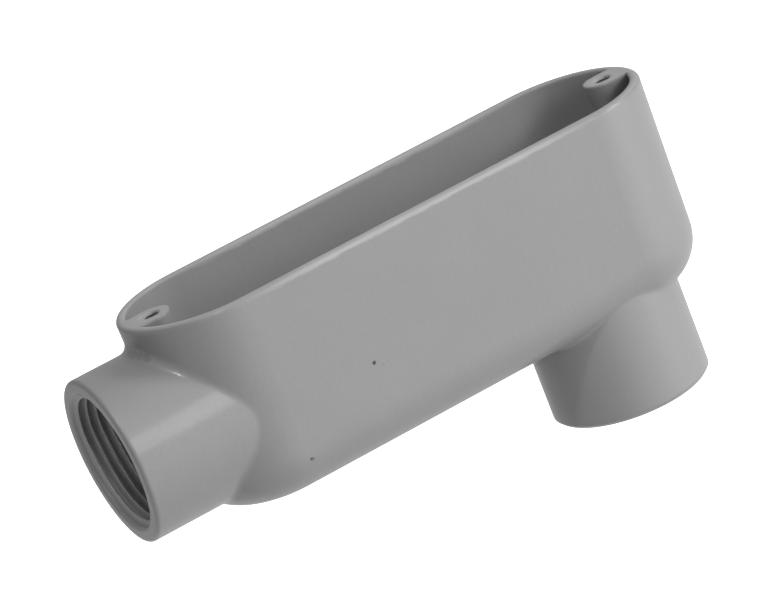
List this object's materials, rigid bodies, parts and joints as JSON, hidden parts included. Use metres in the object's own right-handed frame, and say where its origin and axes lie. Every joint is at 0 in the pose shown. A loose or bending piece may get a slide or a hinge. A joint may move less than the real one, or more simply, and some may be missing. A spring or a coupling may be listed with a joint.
{
  "type": "conduit body",
  "caption": "Long cast conduit body with its cover off: open tub with round ends, one threaded hub at the end, one below the floor.",
  "frame": {"origin": "centre of the open rim, in the plane that the cover seats on, midway between the two cover-screw holes", "axes": "+Z out of the opening; +X along the tub, away from the end hub; the back hub points to -Z near the +X end"},
  "size_m": [0.1523, 0.044, 0.0715],
  "materials": {
    "enamelled_casting": "satin grey enamel over cast aluminium, with cast orange peel and bare thread flanks inside the hubs"
  },
  "bodies": {
    "root": {"conduit_body": "enamelled_casting"}
  },
  "joints": []
}
